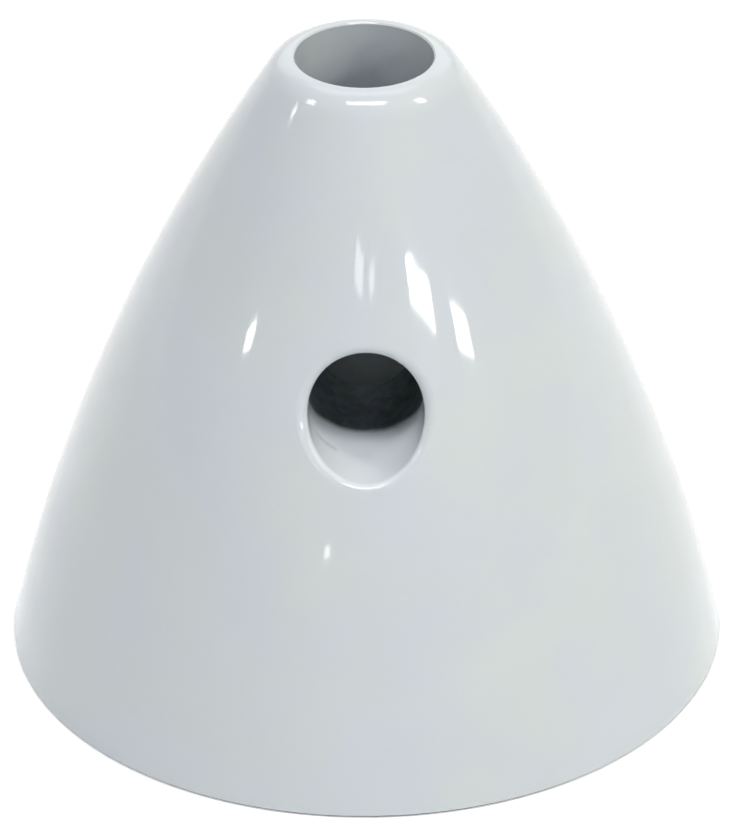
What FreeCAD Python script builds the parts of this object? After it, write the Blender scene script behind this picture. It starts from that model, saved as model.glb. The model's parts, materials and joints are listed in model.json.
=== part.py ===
"""Propeller spinner: a one-piece cone nut that closes the aft end of a propeller shaft.

Millimetres. +Z is the shaft axis and points from the seat to the nose. The origin is the centre of
the flat seat that bears on the propeller hub. The tommy-bar hole runs along Y.
"""

import os
from math import asin, atan2, cos, hypot, radians, sin

import FreeCAD, Part
from FreeCAD import Vector

# ---- Outside ----
BASE_RADIUS = 50.0
HEIGHT = 89.7  # seat to the top of the nose
FLANK_LEAN = 13.45  # degrees between the flank and the axis, just above the seat
NOSE_ROUND = 4.0  # carries the flank over into the mouth of the nose bore
SEAT_CHAMFER = 0.35

# ---- Nose bore: lets a socket key down to the lock screw ----
NOSE_BORE_RADIUS = 9.4
NOSE_BORE_CHAMFER = 0.2  # at the mouth

# ---- Web between the nose bore and the thread: the lock screw's head sits on it ----
WEB_THICKNESS = 6.0
LOCK_SCREW_RADIUS = 5.0  # M10
LOCK_SCREW_CLEARANCE = 0.5
LOCK_SCREW_CHAMFER = 0.5

# ---- Shaft socket: the cone screws onto the threaded end of the shaft ----
THREAD_RADIUS = 15.0  # M30, the bore is the root of the thread
THREAD_LENGTH = 17.0
PILOT_CLEARANCE = 0.5  # plain mouth of the socket, over the thread's radius
PILOT_DEPTH = 4.0
RELIEF_CLEARANCE = 0.4  # run-out groove at the thread's inner end, over the thread's radius
RELIEF_LENGTH = 3.0
SEAT_MOUTH_CHAMFER = 0.5

# ---- Tommy-bar hole: straight through both walls ----
BAR_HOLE_RADIUS = 7.8
BAR_HOLE_HEIGHT = 51.5
BAR_HOLE_RIM_ROUND = 1.2  # outside, where the hole leaves the flank
BAR_HOLE_INNER_CHAMFER = 0.4  # where the hole breaks into the nose bore


def at(radius, height):
    """A point of the half section."""
    return Vector(radius, 0.0, height)


def line(start, end):
    return Part.LineSegment(start, end).toShape()


def lines(*corners):
    return [line(start, end) for start, end in zip(corners, corners[1:])]


def arc(centre, radius, start_angle, end_angle):
    """An arc of the half section. Angles are in radians, from outwards towards the nose."""
    angles = (start_angle, (start_angle + end_angle) / 2.0, end_angle)
    points = [centre + at(radius * cos(a), radius * sin(a)) for a in angles]
    return Part.Arc(*points).toShape()


def revolve(edges):
    """The solid that a closed half section sweeps around the shaft axis."""
    section = Part.Face(Part.Wire(edges))
    return section.revolve(Vector(0, 0, 0), Vector(0, 0, 1), 360.0)


def cone_outside():
    """The ogive. One arc leaves the seat at its lean and runs tangent into the nose round."""
    lean = radians(FLANK_LEAN)
    foot = at(BASE_RADIUS, SEAT_CHAMFER)
    nose_centre = at(NOSE_BORE_RADIUS + NOSE_BORE_CHAMFER, HEIGHT - NOSE_ROUND)

    # The flank's centre is its radius in from the foot, along the lean. The two arcs are tangent
    # where the two centres lie the flank's radius less the nose round apart.
    across = foot.x - nose_centre.x
    up = nose_centre.z - foot.z
    flank_radius = (across**2 + up**2 - NOSE_ROUND**2) / (
        2.0 * (across * cos(lean) - up * sin(lean) - NOSE_ROUND)
    )
    flank_centre = foot - at(flank_radius * cos(lean), flank_radius * sin(lean))
    shoulder = atan2(nose_centre.z - flank_centre.z, nose_centre.x - flank_centre.x)

    # The arc is drawn in three lengths, so that the bar hole and its rim lie within the middle face.
    rim_reach = BAR_HOLE_RADIUS + 1.8 * BAR_HOLE_RIM_ROUND
    below, above = BAR_HOLE_HEIGHT - rim_reach, BAR_HOLE_HEIGHT + rim_reach
    breaks = [asin((height - flank_centre.z) / flank_radius) for height in (below, above)]
    angles = [lean, *breaks, shoulder]

    crown = nose_centre + at(0.0, NOSE_ROUND)
    edges = lines(crown, at(0.0, HEIGHT), at(0.0, 0.0), at(BASE_RADIUS - SEAT_CHAMFER, 0.0), foot)
    edges += [arc(flank_centre, flank_radius, *span) for span in zip(angles, angles[1:])]
    edges.append(arc(nose_centre, NOSE_ROUND, shoulder, radians(90.0)))
    return revolve(edges)


def shaft_socket():
    """Pilot mouth, thread and run-out groove, from the seat up to the web."""
    pilot_radius = THREAD_RADIUS + PILOT_CLEARANCE
    relief_radius = THREAD_RADIUS + RELIEF_CLEARANCE
    relief_start = PILOT_DEPTH + THREAD_LENGTH
    return revolve(
        lines(
            at(0.0, 0.0),
            at(pilot_radius + SEAT_MOUTH_CHAMFER, 0.0),
            at(pilot_radius, SEAT_MOUTH_CHAMFER),
            at(pilot_radius, PILOT_DEPTH - PILOT_CLEARANCE),
            at(THREAD_RADIUS, PILOT_DEPTH),
            at(THREAD_RADIUS, relief_start),
            at(relief_radius, relief_start + RELIEF_CLEARANCE),
            at(relief_radius, socket_top()),
            at(0.0, socket_top()),
            at(0.0, 0.0),
        )
    )


def socket_top():
    return PILOT_DEPTH + THREAD_LENGTH + RELIEF_LENGTH


def screw_passage():
    """Clearance hole through the web, then the nose bore up to its mouth."""
    screw_radius = LOCK_SCREW_RADIUS + LOCK_SCREW_CLEARANCE
    web_bottom = socket_top()
    web_top = web_bottom + WEB_THICKNESS
    return revolve(
        lines(
            at(0.0, web_bottom),
            at(screw_radius + LOCK_SCREW_CHAMFER, web_bottom),
            at(screw_radius, web_bottom + LOCK_SCREW_CHAMFER),
            at(screw_radius, web_top - LOCK_SCREW_CHAMFER),
            at(screw_radius + LOCK_SCREW_CHAMFER, web_top),
            at(NOSE_BORE_RADIUS, web_top),
            at(NOSE_BORE_RADIUS, HEIGHT - NOSE_BORE_CHAMFER),
            at(NOSE_BORE_RADIUS + NOSE_BORE_CHAMFER, HEIGHT),
            at(0.0, HEIGHT),
            at(0.0, web_bottom),
        )
    )


def bar_hole():
    start = Vector(0.0, -BASE_RADIUS, BAR_HOLE_HEIGHT)
    return Part.makeCylinder(BAR_HOLE_RADIUS, 2.0 * BASE_RADIUS, start, Vector(0, 1, 0))


def bar_hole_rims(body, outside):
    """The two closed edges where the bar hole leaves the walls, on the flank or in the nose bore."""
    rims = []
    for edge in body.Edges:
        if isinstance(edge.Curve, Part.Line):
            continue
        points = edge.discretize(24)
        off_the_wall = [abs(hypot(p.x, p.z - BAR_HOLE_HEIGHT) - BAR_HOLE_RADIUS) for p in points]
        on_the_flank = max(abs(p.y) for p in points) > NOSE_BORE_RADIUS + BAR_HOLE_INNER_CHAMFER
        if max(off_the_wall) < 0.01 and on_the_flank == outside:
            rims.append(edge)
    return rims


def spinner_cone():
    body = cone_outside().cut([shaft_socket(), screw_passage()]).cut(bar_hole())
    body = body.makeChamfer(BAR_HOLE_INNER_CHAMFER, bar_hole_rims(body, outside=False))
    return body.makeFillet(BAR_HOLE_RIM_ROUND, bar_hole_rims(body, outside=True))


os.makedirs("parts", exist_ok=True)
spinner_cone().exportStep("parts/spinner_cone.step")
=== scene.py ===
"""Looks of the propeller spinner: gloss white paint over a bored casting, with bare metal inside.

Metres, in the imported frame: +Z from the seat to the nose, the tommy-bar hole along Y. The CAD node
keeps its mesh and gets one paint-over-metal material. A ridge of thread is added in the shaft socket.
"""

import json
from math import cos, pi, radians, sin, tan

import bpy
from mathutils import Matrix, Vector


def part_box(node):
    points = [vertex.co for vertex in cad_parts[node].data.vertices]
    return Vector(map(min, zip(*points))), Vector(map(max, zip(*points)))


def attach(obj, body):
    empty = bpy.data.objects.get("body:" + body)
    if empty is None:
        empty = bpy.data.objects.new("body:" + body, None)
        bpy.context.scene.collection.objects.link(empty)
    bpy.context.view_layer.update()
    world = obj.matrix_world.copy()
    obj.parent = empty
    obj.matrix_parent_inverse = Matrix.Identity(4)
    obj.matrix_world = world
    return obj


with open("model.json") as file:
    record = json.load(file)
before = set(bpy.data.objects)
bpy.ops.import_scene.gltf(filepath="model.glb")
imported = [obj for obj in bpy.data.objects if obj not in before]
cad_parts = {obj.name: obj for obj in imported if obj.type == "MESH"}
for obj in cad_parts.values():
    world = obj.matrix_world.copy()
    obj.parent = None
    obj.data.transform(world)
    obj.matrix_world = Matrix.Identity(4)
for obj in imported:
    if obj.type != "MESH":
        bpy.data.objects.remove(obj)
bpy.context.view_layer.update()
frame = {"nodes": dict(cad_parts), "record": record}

MM = 0.001

# ---- Places on the part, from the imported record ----
MOUNTS = {mount["name"]: mount for mount in frame["record"]["mounts"]}
LOW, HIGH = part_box("spinner_cone")
NOSE_BORE_RADIUS = MOUNTS["nose_bore"]["dims"]["r_mm"] * MM
BAR_HOLE_RADIUS = MOUNTS["tommy_bar_hole"]["dims"]["r_mm"] * MM
BAR_HOLE_HEIGHT = MOUNTS["tommy_bar_hole"]["pos_m"][2]
THREAD_RADIUS = MOUNTS["shaft_thread"]["dims"]["r_mm"] * MM
THREAD_LENGTH = MOUNTS["shaft_thread"]["dims"]["length_mm"] * MM
THREAD_MIDDLE = MOUNTS["shaft_thread"]["pos_m"][2]
SHAFT_SCREW = MOUNTS["lock_screw_hole"]
WEB_TOP = SHAFT_SCREW["pos_m"][2] + SHAFT_SCREW["dims"]["length_mm"] / 2.0 * MM

# ---- How far a place may lie from a surface and still count as on it ----
BAR_HOLE_MARGIN = 0.1 * MM
NOSE_BORE_MARGIN = 0.6 * MM  # takes in the small chamfers along the bore
SOCKET_MARGIN = 2.0 * MM  # takes in the pilot mouth and the run-out groove
WEB_MARGIN = 0.5 * MM  # takes in the chamfer of the lock screw's hole
END_MARGIN = 0.3 * MM  # above the seat, and below the nose bore's mouth

# ---- Thread: M30 x 2 ----
THREAD_PITCH = 2.0 * MM
THREAD_RIDGE_HEIGHT = 1.08 * MM
THREAD_HALF_AT_WALL = 0.45 * THREAD_PITCH
THREAD_HALF_AT_CREST = THREAD_PITCH / 16.0
THREAD_INTO_WALL = 0.05 * MM
THREAD_STEPS_PER_TURN = 96

# ---- Paint ----
PAINT_COLOUR = (0.682, 0.738, 0.745)
PAINT_COOL_PATCH = (0.672, 0.721, 0.774)
PAINT_PATCH_SIZE = 14.0 * MM
PAINT_ROUGHNESS = 0.30
BAR_HOLE_PAINTED_LIGHT_COLOUR = (0.832, 0.874, 0.922)  # painted light: paler paint in the hole, for the light that reaches its floor
BAR_HOLE_PAINTED_LIGHT_FADE = 0.5 * MM  # across the rim, into the colour outside
PAINTED_SHADE_BELOW_NOSE = 0.965  # painted shade: the paint is a little darker near the nose
NOSE_SHADE_DEPTH = 15.0 * MM  # the shade is reached this far below the top
NOSE_ROUND_DEPTHS = (3.5 * MM, 1.5 * MM)  # and fades away between these, on the nose round
NOSE_BORE_SHADE_AT_MOUTH = 0.05  # painted shade: share of metal mixed into the paint at the nose bore's mouth
NOSE_BORE_DEEPEST_SHADE = 0.36  # the same, at and below the depth that follows
# the depth below the top at which the painted shade is deepest
NOSE_BORE_SHADE_DEPTH = 16.0 * MM
NOSE_BORE_SHADE_RAGGED = 2.0  # the painted shade's edge is this many times as ragged as the spray's edge in the bar hole
PAINT_IN_BAR_HOLE = 21.5 * MM  # from the axis, on the hole's floor
PAINT_LEAN = 0.42  # the spray's edge moves outwards by this much for each metre up the hole's wall
PAINT_EDGE_FADE = 0.9 * MM  # either side of the spray's edge in the bar hole
PAINT_EDGE_LUMP = 3.0 * MM  # the size of the spray's lumps along its edge
PAINT_EDGE_RAGGED = 1.0 * MM  # how far they move it
WAVE_SIZE = 11.0 * MM
WAVE_HEIGHT = 0.02 * MM
PEEL_SIZE = 1.4 * MM
PEEL_HEIGHT = 0.0012 * MM

# ---- Bare metal: the casting, and the cut thread ----
METAL_COLOUR = (0.125, 0.147, 0.180)
METAL_WARM_PATCH = (0.112, 0.142, 0.142)
METAL_PATCH_SIZE = 7.0 * MM
METAL_STAIN_SIZE = 1.6 * MM
METAL_STAIN_TONES = (0.75, 1.25)  # of the metal's brightness
METAL_SHINE = 0.3
METAL_ROUGHNESS = 0.55
THREAD_COLOUR = (0.42, 0.43, 0.43)
THREAD_BRIGHT_PATCH = (0.52, 0.53, 0.53)
THREAD_PATCH_SIZE = 1.0 * MM
THREAD_ROUGHNESS = (0.28, 0.42)
THREAD_SCRATCH_SIZE = 0.3 * MM
THREAD_SCRATCH_DEPTH = 0.004 * MM

# ---- A scuff on the left of the bar hole's floor, where a bar was pushed in ----
SCUFF_ENDS = (Vector((-6.5, -28.1, 47.2)) * MM, Vector((-4.35, -28.0, 45.0)) * MM)
SCUFF_HALF_WIDTH = 0.8 * MM
SCUFF_LUMP = 1.0 * MM
SCUFF_STRENGTH = 0.24

# ---- Camera: a long lens, 840 mm from the seat's centre, looking 31 degrees down ----
CAMERA_PLACE = Vector((0.0, -0.7062, 0.4555))
CAMERA_PITCH = radians(30.883)
CAMERA_ROLL = radians(0.278)
CAMERA_LENS = 255.75
CAMERA_SENSOR_WIDTH = 36.0

# ---- Lamps, seen from the middle of the cone ----
AIM = Vector((0.0, 0.0, 0.045))
LAMP_DISTANCE = 2.5
# name: azimuth (0 is towards the camera, + to the right), elevation, width, height, roll and radiance.
# The angles and sizes are in degrees.
LAMPS = {
    "back_panel": (180.0, 65.0, 40.0, 25.0, 0.0, 1.8),
    "back_fill": (180.0, 32.0, 60.0, 28.0, 0.0, 0.8),
    "overhead_panel": (5.0, 71.2, 28.6, 14.8, -6.0, 11.8),
    "right_window": (77.5, 38.0, 8.0, 15.0, -2.0, 17.0),
    "left_window": (-73.0, 39.7, 9.0, 11.0, 17.0, 12.5),
    "far_left_tube": (-83.5, 22.6, 4.0, 0.6, 23.0, 16.0),
    "centre_left_lamp": (-4.0, 27.4, 4.7, 2.7, -18.0, 8.0),
    "centre_right_lamp": (4.2, 26.7, 2.8, 1.8, 16.0, 7.0),
    "right_softbox": (32.8, 23.9, 12.0, 3.1, -18.0, 30.0),
    "right_tube": (52.7, 17.8, 7.1, 2.8, -16.0, 30.0),
    "left_tube": (-62.3, 15.4, 3.9, 1.8, 22.0, 30.0),
    "low_lamp": (-14.6, 8.5, 2.1, 0.7, 7.0, 15.0),
}
LAMP_TINTS = {"right_window": (1.04, 1.0, 0.84), "left_window": (0.99, 0.99, 1.03)}
WHITE = (1.0, 1.0, 1.0)  # the tint of every other lamp

# ---- Floor and room ----
FLOOR_COLOUR = (0.88, 0.885, 0.89, 1.0)
FLOOR_REACH = 6.0
FLOOR_GLOW_NEAR = 0.32  # for white that still takes the part's shadow
FLOOR_GLOW_FAR = 0.98  # where the lamps hardly reach
FLOOR_GLOW_SPAN = (0.15, 2.5)  # from the part's axis
ROOM_LIGHT_LOW = 0.21  # from the walls
ROOM_LIGHT_HIGH = 0.0  # from the ceiling, beside the panels
ROOM_LIGHT_TOP = 0.6  # the sine of the elevation at which the walls end


class Nodes:
    """Short calls for building a node tree."""

    def __init__(self, tree):
        self.tree = tree
        self.tree.nodes.clear()

    def add(self, kind, **properties):
        node = self.tree.nodes.new(kind)
        for name, value in properties.items():
            setattr(node, name, value)
        return node

    def feed(self, socket, value):
        if isinstance(value, bpy.types.NodeSocket):
            self.tree.links.new(value, socket)
        else:
            socket.default_value = value

    def math(self, operation, *values):
        node = self.add("ShaderNodeMath", operation=operation)
        for socket, value in zip(node.inputs, values):
            self.feed(socket, value)
        return node.outputs[0]

    def ramp(self, value, start, end, first=0.0, last=1.0):
        """first where value is start and below, last from end on, smooth between."""
        node = self.add("ShaderNodeMapRange", interpolation_type="SMOOTHSTEP")
        for name, amount in (
            ("Value", value),
            ("From Min", start),
            ("From Max", end),
            ("To Min", first),
            ("To Max", last),
        ):
            self.feed(node.inputs[name], amount)
        return node.outputs["Result"]

    def clamp(self, value):
        node = self.add("ShaderNodeClamp")
        self.feed(node.inputs[0], value)
        return node.outputs[0]

    def vector(self, operation, *values, scale=None):
        """A vector operation's result, which is a number for a length, a distance or a dot product."""
        node = self.add("ShaderNodeVectorMath", operation=operation)
        for socket, value in zip(node.inputs, values):
            self.feed(socket, value)
        if scale is not None:
            self.feed(node.inputs["Scale"], scale)
        is_number = operation in ("LENGTH", "DISTANCE", "DOT_PRODUCT")
        return node.outputs["Value" if is_number else "Vector"]

    def split(self, vector):
        node = self.add("ShaderNodeSeparateXYZ")
        self.feed(node.inputs[0], vector)
        return node.outputs

    def join(self, *numbers):
        node = self.add("ShaderNodeCombineXYZ")
        for socket, number in zip(node.inputs, numbers):
            self.feed(socket, number)
        return node.outputs[0]

    def noise(self, place, size, detail=2.0, roughness=0.5):
        """Noise from 0 to 1 whose features are about size across."""
        node = self.add("ShaderNodeTexNoise")
        self.feed(node.inputs["Vector"], place)
        node.inputs["Scale"].default_value = 1.0 / size
        node.inputs["Detail"].default_value = detail
        node.inputs["Roughness"].default_value = roughness
        return node.outputs["Fac"]

    def patches(self, place, size, low, high, detail=2.0):
        """0 to 1 in patches about size across, which meet where the noise is between low and high."""
        return self.ramp(self.noise(place, size, detail), low, high)

    def blend(self, share, first, second):
        """A colour between two."""
        node = self.add("ShaderNodeMix", data_type="RGBA")
        self.feed(node.inputs["Factor"], share)
        colour_sockets = node.inputs[6:8]
        for socket, colour in zip(colour_sockets, (first, second)):
            self.feed(socket, (*colour, 1.0) if isinstance(colour, tuple) else colour)
        return node.outputs[2]

    def bump(self, height, distance, normal=None):
        node = self.add("ShaderNodeBump")
        self.feed(node.inputs["Height"], height)
        node.inputs["Distance"].default_value = distance
        node.inputs["Strength"].default_value = 1.0
        if normal is not None:
            self.feed(node.inputs["Normal"], normal)
        return node.outputs["Normal"]


def material(name):
    made = bpy.data.materials.new(name)
    made.use_nodes = True
    return made, Nodes(made.node_tree)


def scuff(nodes, place):
    """1 along the scuff in the bar hole, fading to 0 at its sides and ends."""
    start, end = SCUFF_ENDS
    along = nodes.vector("SUBTRACT", place, start)
    length = end - start
    share = nodes.math("DIVIDE", nodes.vector("DOT_PRODUCT", along, length), length.length_squared)
    nearest = nodes.vector("SCALE", tuple(length), scale=nodes.clamp(share))
    distance = nodes.vector("DISTANCE", along, nearest)
    rough = nodes.math("MULTIPLY", nodes.noise(place, SCUFF_LUMP), SCUFF_HALF_WIDTH)
    # The lumps move the edge inwards by up to a half width, so the ramp starts outside it.
    outside, inside = 1.6 * SCUFF_HALF_WIDTH, 0.6 * SCUFF_HALF_WIDTH
    return nodes.ramp(nodes.math("ADD", distance, rough), outside, inside)


def from_bar_axis(nodes, place):
    """The distance from the axis of the bar hole, which runs along Y."""
    x, _, z = nodes.split(place)
    return nodes.vector("LENGTH", nodes.join(x, 0.0, nodes.math("SUBTRACT", z, BAR_HOLE_HEIGHT)))


def bare_in_bar_hole(nodes, place, ragged):
    """1 past the spray's edge, which leans outwards from the floor of the bar hole to its roof."""
    _, y, z = nodes.split(place)
    floor = BAR_HOLE_HEIGHT - BAR_HOLE_RADIUS
    up_the_wall = nodes.math("MULTIPLY", nodes.math("SUBTRACT", z, floor), PAINT_LEAN)
    edge = nodes.math("ADD", nodes.math("ADD", up_the_wall, PAINT_IN_BAR_HOLE), ragged)
    inside_edge = nodes.math("SUBTRACT", edge, nodes.math("ABSOLUTE", y))
    deep_in_hole = nodes.ramp(inside_edge, -PAINT_EDGE_FADE, PAINT_EDGE_FADE)
    on_hole_wall = nodes.math("LESS_THAN", from_bar_axis(nodes, place), BAR_HOLE_RADIUS + BAR_HOLE_MARGIN)
    return nodes.math("MULTIPLY", deep_in_hole, on_hole_wall)


def nose_bore_painted_shade(nodes, from_axis, z, ragged):
    """Painted shade: the share of metal mixed into the paint, which is larger further down the bore."""
    lumps = nodes.math("MULTIPLY", ragged, NOSE_BORE_SHADE_RAGGED)
    depth = nodes.math("SUBTRACT", HIGH.z, nodes.math("ADD", z, lumps))
    bore_shade = nodes.ramp(depth, 0.0, NOSE_BORE_SHADE_DEPTH, NOSE_BORE_SHADE_AT_MOUTH, NOSE_BORE_DEEPEST_SHADE)
    on_bore_wall = nodes.math("LESS_THAN", from_axis, NOSE_BORE_RADIUS + NOSE_BORE_MARGIN)
    below_mouth = nodes.math("LESS_THAN", z, HIGH.z - END_MARGIN)
    return nodes.math("MULTIPLY", nodes.math("MULTIPLY", on_bore_wall, below_mouth), bore_shade)


def bare_metal_and_bore_shade(nodes, place):
    """1 where the metal is bare: deep in the bar hole, in the socket and on the seat. Partly 1 down the
    nose bore, as painted shade. 0 on the paint.
    """
    x, y, z = nodes.split(place)
    from_axis = nodes.vector("LENGTH", nodes.join(x, y, 0.0))
    lumps = nodes.math("SUBTRACT", nodes.noise(place, PAINT_EDGE_LUMP, 3.0), 0.5)
    ragged = nodes.math("MULTIPLY", lumps, PAINT_EDGE_RAGGED)

    near_socket = nodes.math("LESS_THAN", from_axis, THREAD_RADIUS + SOCKET_MARGIN)
    below_web = nodes.math("LESS_THAN", z, WEB_TOP + WEB_MARGIN)
    in_socket = nodes.math("MULTIPLY", near_socket, below_web)
    # Painted shade: metal mixed into the paint down the nose bore, together with the bare socket.
    socket_and_bore_shade = nodes.math("MAXIMUM", nose_bore_painted_shade(nodes, from_axis, z, ragged), in_socket)
    inside = nodes.math("MAXIMUM", bare_in_bar_hole(nodes, place, ragged), socket_and_bore_shade)
    on_seat = nodes.math("LESS_THAN", z, LOW.z + END_MARGIN)
    return nodes.math("MAXIMUM", inside, on_seat)


def upper_cone_painted_shade(nodes, z):
    """Painted shade: the paint's brightness is 1 on most of the cone and on the nose round, a little less
    between.
    """
    shaded_tone = nodes.ramp(z, BAR_HOLE_HEIGHT, HIGH.z - NOSE_SHADE_DEPTH, 1.0, PAINTED_SHADE_BELOW_NOSE)
    round_start, round_end = (HIGH.z - depth for depth in NOSE_ROUND_DEPTHS)
    on_round = nodes.ramp(z, round_start, round_end)
    lost = nodes.math("MULTIPLY", nodes.math("SUBTRACT", 1.0, shaded_tone), on_round)
    return nodes.math("ADD", lost, shaded_tone)


def paint_colour(nodes, place):
    patches = nodes.patches(place, PAINT_PATCH_SIZE, 0.35, 0.65, detail=3.0)
    paint = nodes.blend(patches, PAINT_COLOUR, PAINT_COOL_PATCH)
    # Painted shade: the upper cone, below the nose round, is made a little darker.
    paint = nodes.vector("SCALE", paint, scale=upper_cone_painted_shade(nodes, nodes.split(place)["Z"]))
    # Painted light: the bar hole's wall and floor get a paler paint, blended in across the rim.
    fade_start = BAR_HOLE_RADIUS + BAR_HOLE_PAINTED_LIGHT_FADE
    in_hole = nodes.ramp(from_bar_axis(nodes, place), fade_start, BAR_HOLE_RADIUS)
    paint = nodes.blend(in_hole, paint, BAR_HOLE_PAINTED_LIGHT_COLOUR)
    scuffed = nodes.math("MULTIPLY", scuff(nodes, place), SCUFF_STRENGTH)
    return nodes.blend(scuffed, paint, METAL_COLOUR)


def metal_colour(nodes, place):
    stains = nodes.ramp(nodes.noise(place, METAL_STAIN_SIZE, 4.0, 0.6), 0.3, 0.75, *METAL_STAIN_TONES)
    patches = nodes.patches(place, METAL_PATCH_SIZE, 0.4, 0.6)
    return nodes.vector("SCALE", nodes.blend(patches, METAL_COLOUR, METAL_WARM_PATCH), scale=stains)


def painted_casting():
    """Gloss white paint, slightly wavy as sprayed, over dull bare metal."""
    made, nodes = material("white_paint")
    place = nodes.add("ShaderNodeTexCoord").outputs["Object"]
    # 1 on bare metal, and part way down the nose bore as painted shade.
    bare = bare_metal_and_bore_shade(nodes, place)
    colour = nodes.blend(bare, paint_colour(nodes, place), metal_colour(nodes, place))

    waves = nodes.bump(nodes.noise(place, WAVE_SIZE, 1.0), WAVE_HEIGHT)
    peel = nodes.bump(nodes.noise(place, PEEL_SIZE, 1.0), PEEL_HEIGHT, normal=waves)

    shader = nodes.add("ShaderNodeBsdfPrincipled")
    nodes.feed(shader.inputs["Base Color"], colour)
    nodes.feed(shader.inputs["Metallic"], nodes.math("MULTIPLY", bare, METAL_SHINE))
    roughness = nodes.ramp(bare, 0.0, 1.0, PAINT_ROUGHNESS, METAL_ROUGHNESS)
    nodes.feed(shader.inputs["Roughness"], roughness)
    nodes.feed(shader.inputs["Normal"], peel)
    nodes.feed(shader.inputs["Coat Weight"], nodes.math("SUBTRACT", 1.0, bare))
    shader.inputs["Coat Roughness"].default_value = 0.05
    shader.inputs["Coat IOR"].default_value = 1.4
    shader.inputs["Specular IOR Level"].default_value = 0.1
    nodes.feed(shader.inputs["Coat Normal"], peel)
    output = nodes.add("ShaderNodeOutputMaterial")
    nodes.feed(output.inputs["Surface"], shader.outputs[0])
    return made


def machined_metal():
    """The cut thread: brighter than the cast bore, with fine scratches."""
    made, nodes = material("machined_metal")
    place = nodes.add("ShaderNodeTexCoord").outputs["Object"]
    tone = nodes.patches(place, THREAD_PATCH_SIZE, 0.3, 0.7, detail=3.0)
    scratches = nodes.bump(nodes.noise(place, THREAD_SCRATCH_SIZE), THREAD_SCRATCH_DEPTH)
    shader = nodes.add("ShaderNodeBsdfPrincipled")
    nodes.feed(shader.inputs["Base Color"], nodes.blend(tone, THREAD_COLOUR, THREAD_BRIGHT_PATCH))
    shader.inputs["Metallic"].default_value = 1.0
    nodes.feed(shader.inputs["Roughness"], nodes.ramp(tone, 0.0, 1.0, *THREAD_ROUGHNESS))
    nodes.feed(shader.inputs["Normal"], scratches)
    output = nodes.add("ShaderNodeOutputMaterial")
    nodes.feed(output.inputs["Surface"], shader.outputs[0])
    return made


def thread_ridge():
    """The thread's metal between its root, which is the socket's wall, and its crest."""
    crest = THREAD_RADIUS - THREAD_RIDGE_HEIGHT
    section = (
        (THREAD_RADIUS + THREAD_INTO_WALL, -THREAD_HALF_AT_WALL),
        (THREAD_RADIUS, -THREAD_HALF_AT_WALL),
        (crest, -THREAD_HALF_AT_CREST),
        (crest, THREAD_HALF_AT_CREST),
        (THREAD_RADIUS, THREAD_HALF_AT_WALL),
        (THREAD_RADIUS + THREAD_INTO_WALL, THREAD_HALF_AT_WALL),
    )
    climb = THREAD_LENGTH - 2.0 * THREAD_HALF_AT_WALL
    start = THREAD_MIDDLE - climb / 2.0
    steps = round(climb / THREAD_PITCH * THREAD_STEPS_PER_TURN)
    corners = len(section)
    run_in = THREAD_STEPS_PER_TURN // 4

    vertices = []
    for step in range(steps + 1):
        angle = 2.0 * pi * step / THREAD_STEPS_PER_TURN
        height = start + climb * step / steps
        # The first and last quarter turn grow out of the wall.
        grown = min(1.0, (step + 1) / run_in, (steps - step + 1) / run_in)
        for radius, along in section:
            radius = max(radius, THREAD_RADIUS - THREAD_RIDGE_HEIGHT * grown)
            vertices.append((radius * cos(angle), radius * sin(angle), height + along))

    last = steps * corners
    faces = [tuple(reversed(range(corners))), tuple(range(last, last + corners))]
    for step in range(steps):
        for corner in range(corners):
            beside = (corner + 1) % corners
            here, after = step * corners, (step + 1) * corners
            faces.append((here + corner, here + beside, after + beside, after + corner))

    mesh = bpy.data.meshes.new("shaft_thread_ridge")
    mesh.from_pydata(vertices, [], faces)
    mesh.validate()
    mesh.update()
    ridge = bpy.data.objects.new("shaft_thread_ridge", mesh)
    bpy.context.scene.collection.objects.link(ridge)
    ridge.data.materials.append(machined_metal())
    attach(ridge, "root")


def seen_as_white(nodes):
    """1 for rays that show the surroundings: straight to the camera, mirrored or through glass."""
    path = nodes.add("ShaderNodeLightPath").outputs
    mirrored = nodes.math("MAXIMUM", path["Is Glossy Ray"], path["Is Transmission Ray"])
    return nodes.math("MAXIMUM", path["Is Camera Ray"], mirrored)


def floor():
    """A white table that keeps a light shadow of the part."""
    mesh = bpy.data.meshes.new("floor")
    corners = [(x * FLOOR_REACH, y * FLOOR_REACH, 0.0) for x, y in ((-1, -1), (1, -1), (1, 1), (-1, 1))]
    mesh.from_pydata(corners, [], [(0, 1, 2, 3)])
    table = bpy.data.objects.new("floor", mesh)
    bpy.context.scene.collection.objects.link(table)
    made, nodes = material("floor")
    diffuse = nodes.add("ShaderNodeBsdfDiffuse")
    diffuse.inputs["Color"].default_value = FLOOR_COLOUR
    glow = nodes.add("ShaderNodeEmission")
    from_part = nodes.vector("LENGTH", nodes.add("ShaderNodeTexCoord").outputs["Object"])
    level = nodes.ramp(from_part, *FLOOR_GLOW_SPAN, FLOOR_GLOW_NEAR, FLOOR_GLOW_FAR)
    nodes.feed(glow.inputs["Strength"], nodes.math("MULTIPLY", seen_as_white(nodes), level))
    both = nodes.add("ShaderNodeAddShader")
    nodes.feed(both.inputs[0], diffuse.outputs[0])
    nodes.feed(both.inputs[1], glow.outputs[0])
    output = nodes.add("ShaderNodeOutputMaterial")
    nodes.feed(output.inputs["Surface"], both.outputs[0])
    mesh.materials.append(made)


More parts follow.
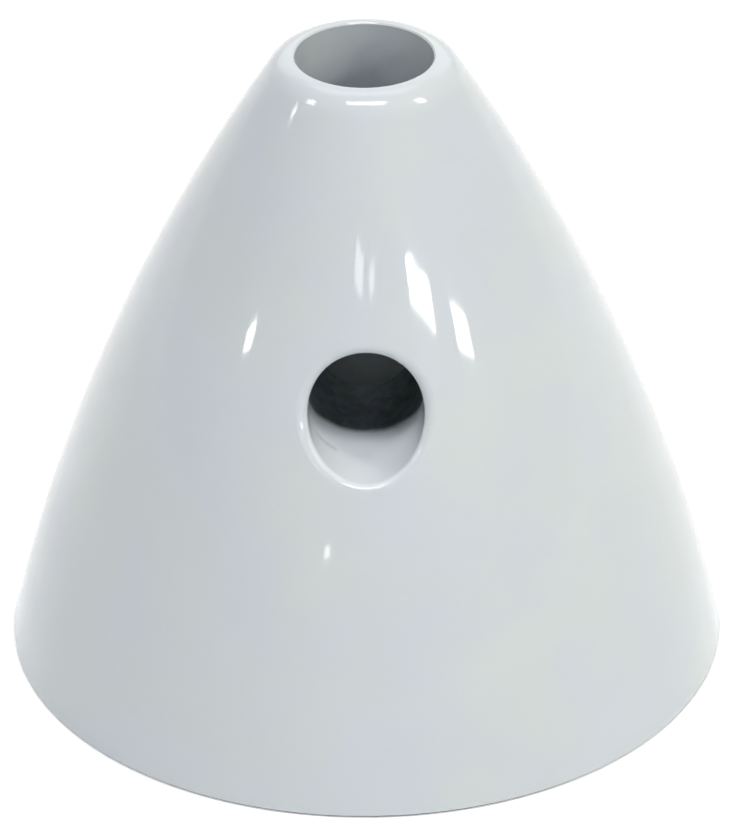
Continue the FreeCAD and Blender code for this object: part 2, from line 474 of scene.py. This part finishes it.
def room():
    """Weak light from the walls. The room looks white where it is seen or mirrored."""
    world = bpy.data.worlds.new("room")
    world.use_nodes = True
    bpy.context.scene.world = world
    nodes = Nodes(world.node_tree)
    seen = seen_as_white(nodes)
    height = nodes.split(nodes.add("ShaderNodeTexCoord").outputs["Generated"])["Z"]
    level = nodes.ramp(height, 0.0, ROOM_LIGHT_TOP, ROOM_LIGHT_LOW, ROOM_LIGHT_HIGH)
    background = nodes.add("ShaderNodeBackground")
    nodes.feed(background.inputs["Color"], (*WHITE, 1.0))
    nodes.feed(background.inputs["Strength"], nodes.math("MAXIMUM", level, seen))
    output = nodes.add("ShaderNodeOutputWorld")
    nodes.feed(output.inputs["Surface"], background.outputs[0])


def lamp(name, azimuth, elevation, width, height, roll, radiance):
    """A flat lamp that looks width by height degrees large from the part."""
    azimuth, elevation, roll = radians(azimuth), radians(elevation), radians(roll)
    outwards = Vector((cos(elevation) * sin(azimuth), -cos(elevation) * cos(azimuth), sin(elevation)))
    right = Vector((cos(azimuth), sin(azimuth), 0.0))
    up = outwards.cross(right)
    across = right * cos(roll) + up * sin(roll)
    upright = up * cos(roll) - right * sin(roll)

    light = bpy.data.lights.new(name, "AREA")
    light.shape = "RECTANGLE"
    light.size = 2.0 * LAMP_DISTANCE * tan(radians(width / 2.0))
    light.size_y = 2.0 * LAMP_DISTANCE * tan(radians(height / 2.0))
    light.energy = radiance * pi * light.size * light.size_y
    light.color = LAMP_TINTS.get(name, WHITE)
    made = bpy.data.objects.new(name, light)
    bpy.context.scene.collection.objects.link(made)
    turned = Matrix((across, upright, outwards)).transposed().to_4x4()
    made.matrix_world = Matrix.Translation(AIM + outwards * LAMP_DISTANCE) @ turned
    made.visible_camera = False


def camera():
    data = bpy.data.cameras.new("camera")
    data.lens = CAMERA_LENS
    data.sensor_width = CAMERA_SENSOR_WIDTH
    data.clip_start = 0.01
    made = bpy.data.objects.new("camera", data)
    bpy.context.scene.collection.objects.link(made)
    tilt = Matrix.Rotation(radians(90.0) - CAMERA_PITCH, 4, "X")
    made.matrix_world = Matrix.Translation(CAMERA_PLACE) @ tilt @ Matrix.Rotation(-CAMERA_ROLL, 4, "Z")
    bpy.context.scene.camera = made


cone = frame["nodes"]["spinner_cone"]
cone.data.materials.clear()
cone.data.materials.append(painted_casting())
thread_ridge()
floor()
room()
for name, setting in LAMPS.items():
    lamp(name, *setting)
camera()
bpy.context.scene.view_settings.view_transform = "Standard"
